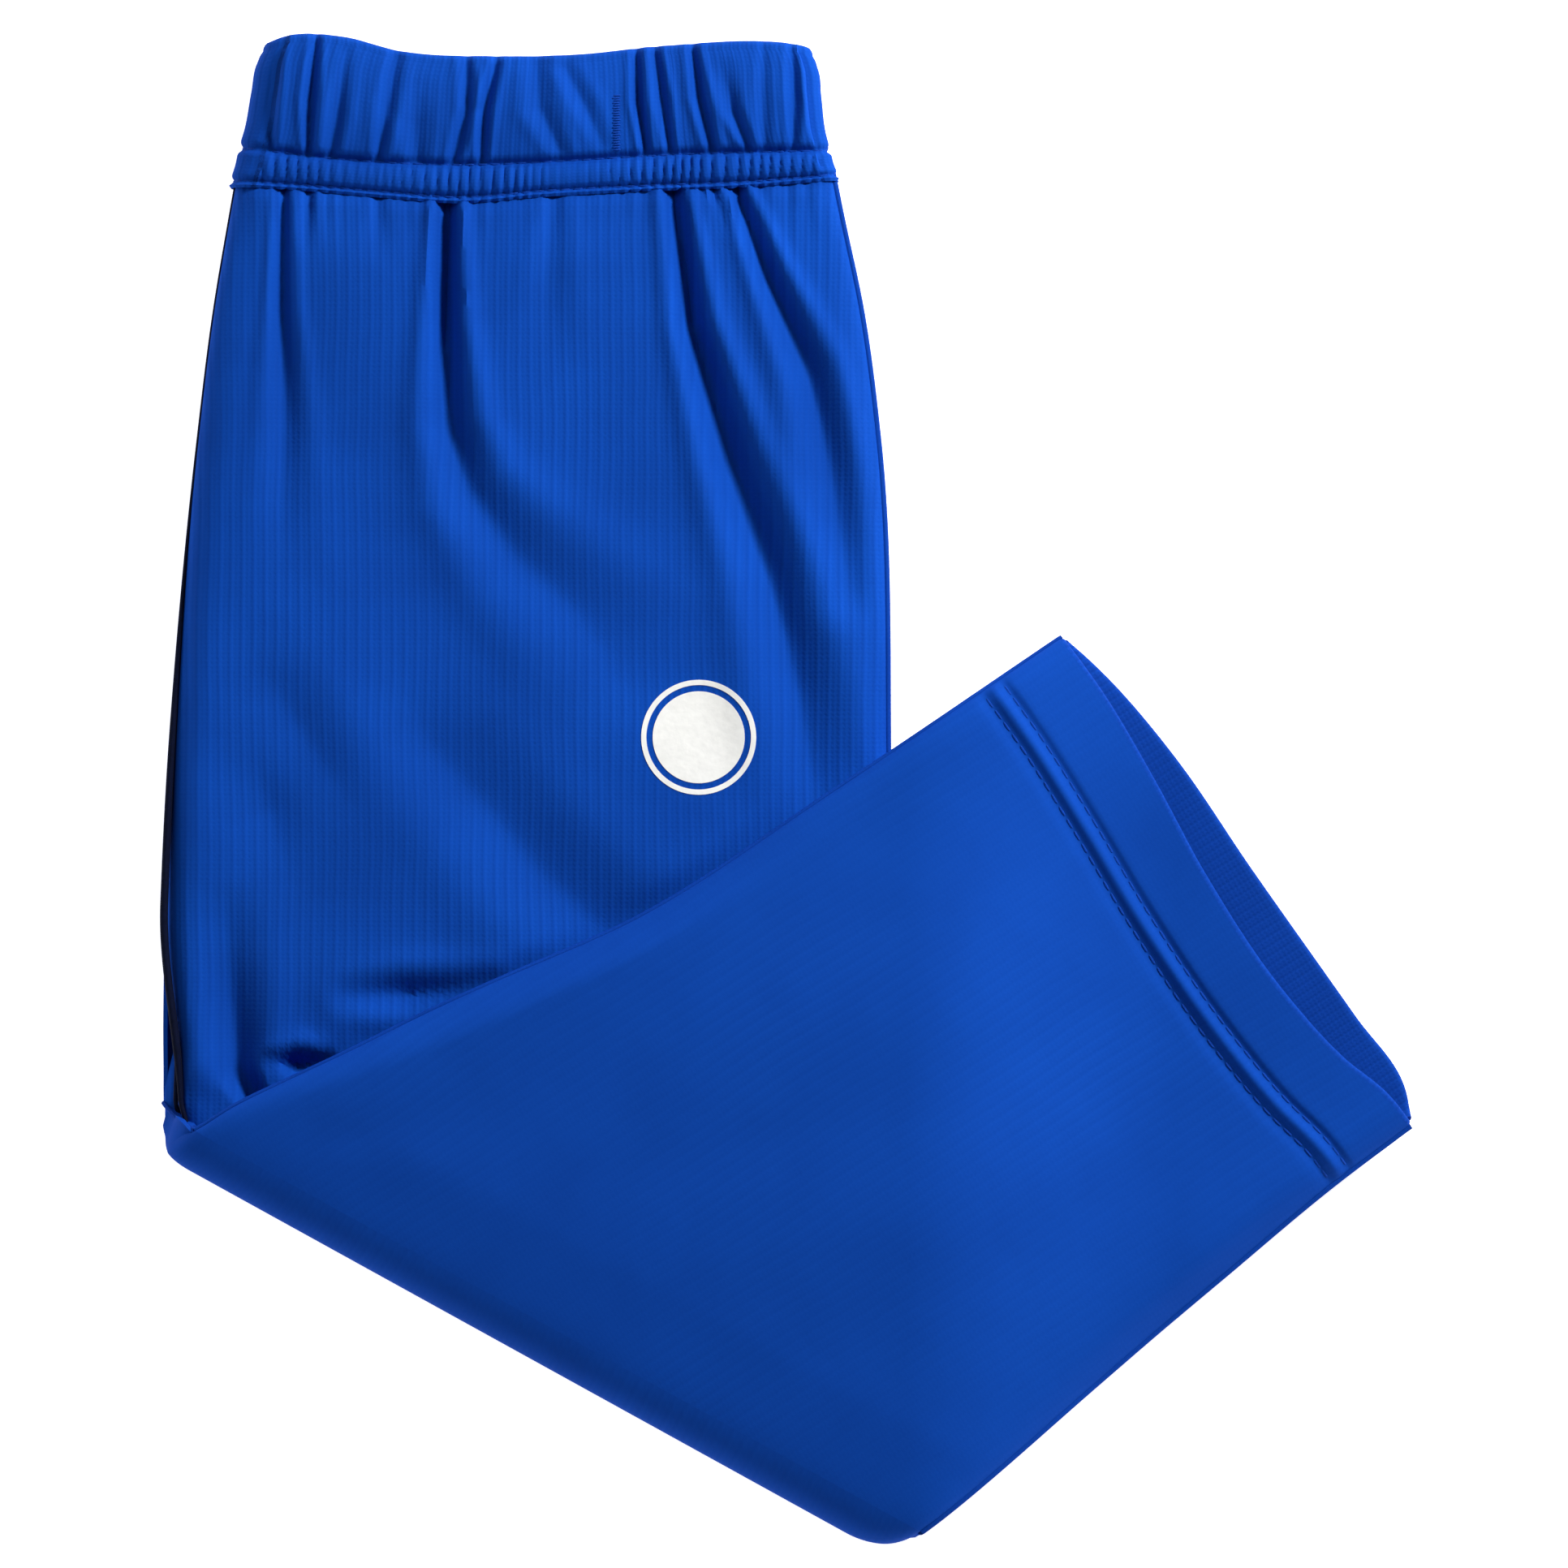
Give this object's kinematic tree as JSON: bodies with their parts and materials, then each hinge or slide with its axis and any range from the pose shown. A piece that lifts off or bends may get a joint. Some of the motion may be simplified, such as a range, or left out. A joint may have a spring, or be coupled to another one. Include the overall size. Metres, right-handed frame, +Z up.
{
  "type": "folded training uniform trousers",
  "caption": "Small child's blue knit training trousers with a gathered elastic waist, one leg laid on the other and the lower legs folded across the thighs.",
  "frame": {"origin": "on the table, under the middle of the garment's bounding box", "axes": "+Y from the fold towards the waistband, +X towards the hems, +Z up out of the table through the layers"},
  "size_m": [0.2402, 0.2828, 0.0238],
  "materials": {
    "blue_knit": "matte",
    "seam_tape": "matte",
    "thread": "satin",
    "elastic": "matte",
    "print_film": "satin",
    "label_satin": "satin"
  },
  "bodies": {
    "upper": {"waist_casing": "blue_knit", "waist_elastic": "elastic", "waist_stitch_upper": "thread", "waist_stitch_lower": "thread", "waist_bartack": "thread", "left_front_thigh": "blue_knit", "left_back_thigh": "blue_knit", "right_front_thigh": "blue_knit", "right_back_thigh": "blue_knit", "left_outseam_thigh": "blue_knit", "right_outseam_thigh": "blue_knit", "front_rise_seam": "seam_tape", "back_rise_seam": "seam_tape", "thigh_mark": "print_film", "care_label": "label_satin"},
    "lower_legs": {"left_front_shin": "blue_knit", "left_back_shin": "blue_knit", "right_front_shin": "blue_knit", "right_back_shin": "blue_knit", "left_outseam_shin": "blue_knit", "right_outseam_shin": "blue_knit", "left_inseam": "blue_knit", "right_inseam": "blue_knit", "left_hem_facing": "blue_knit", "right_hem_facing": "blue_knit", "left_hem_stitching": "thread", "right_hem_stitching": "thread"}
  },
  "joints": [
    {"name": "leg_fold", "type": "hinge", "parent": "upper", "child": "lower_legs", "pos_m": [-0.04712, -0.10105, 0.0119], "axis": [0.8755, -0.4833, 0], "range_deg": [0, 179]}
  ]
}
